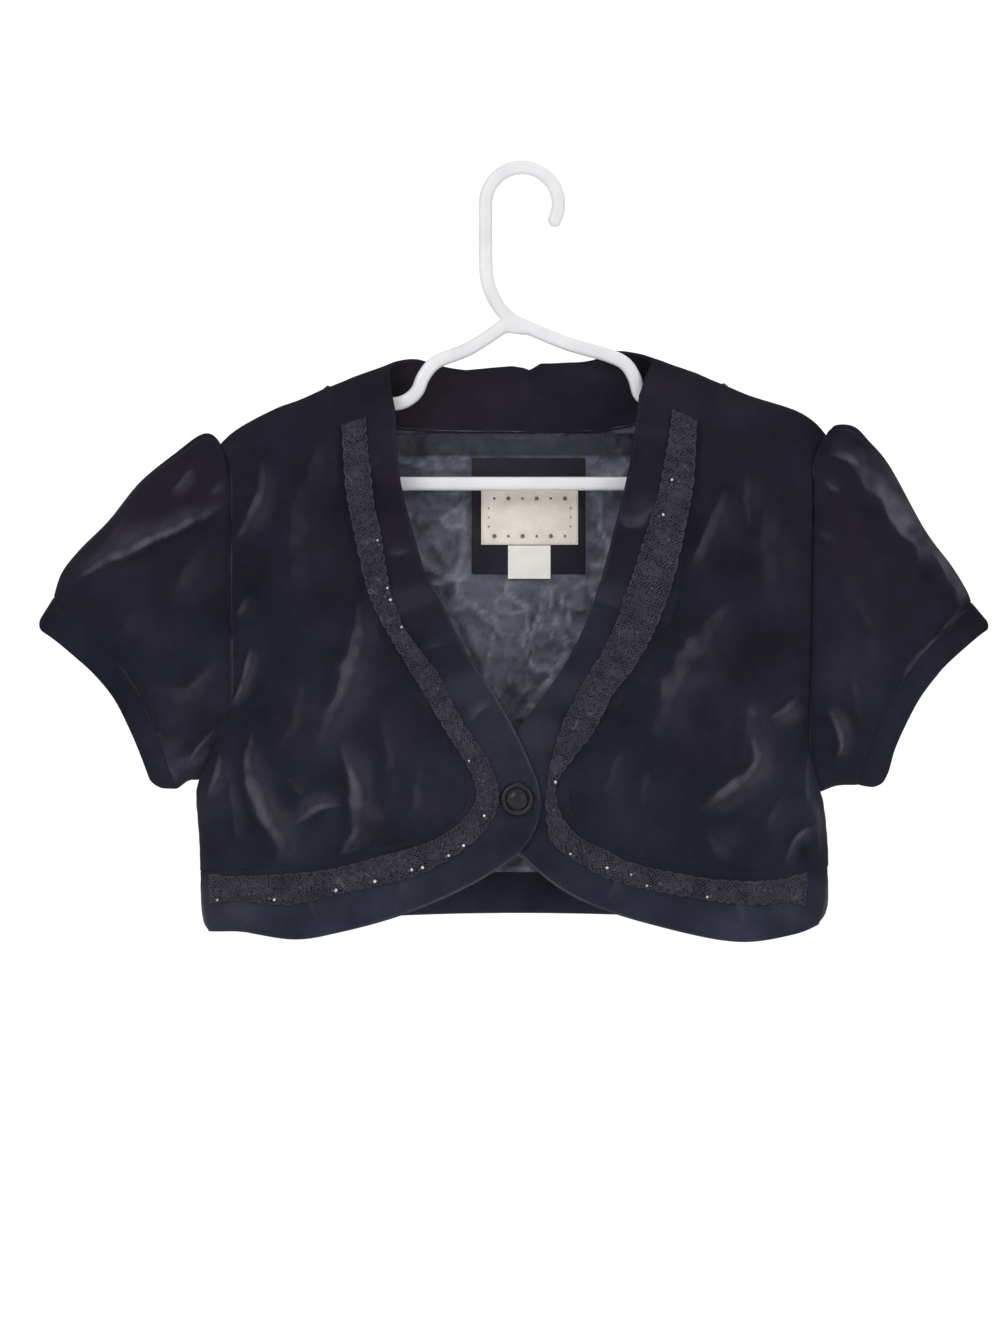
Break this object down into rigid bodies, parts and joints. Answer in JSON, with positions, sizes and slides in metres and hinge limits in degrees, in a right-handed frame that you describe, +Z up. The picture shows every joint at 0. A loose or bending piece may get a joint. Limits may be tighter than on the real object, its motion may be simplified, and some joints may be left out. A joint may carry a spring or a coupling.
{
  "type": "velvet bolero jacket on a tubular clothes hanger",
  "caption": "Short velvet bolero jacket with puff sleeves, lace-trimmed rounded fronts and one button, hung on a notched tubular hanger.",
  "frame": {"origin": "inner top of the hanger's hook, where it rests on a rail", "axes": "+X to the viewer's right across the front, +Y towards the back of the jacket, +Z up"},
  "size_m": [0.5703, 0.0602, 0.4678],
  "materials": {
    "velvet": "near-black navy cotton velvet with a soft sheen",
    "satin_lining": "grey-blue satin, crumpled",
    "lace_trim": "charcoal scalloped lace with small sequins",
    "label": "cream woven label",
    "button": "black, raised rim",
    "hanger": "white moulded plastic"
  },
  "bodies": {
    "root": {"right_front": "velvet", "left_front": "velvet", "back": "velvet", "right_band": "velvet", "left_band": "velvet", "back_collar": "velvet", "back_hem_band": "velvet", "right_sleeve": "velvet", "left_sleeve": "velvet", "right_cuff": "velvet", "left_cuff": "velvet", "right_lace": "lace_trim", "left_lace": "lace_trim", "back_lining": "satin_lining", "label_patch": "velvet", "label": "label", "size_tab": "label", "button": "button", "hanger": "hanger"}
  },
  "joints": []
}
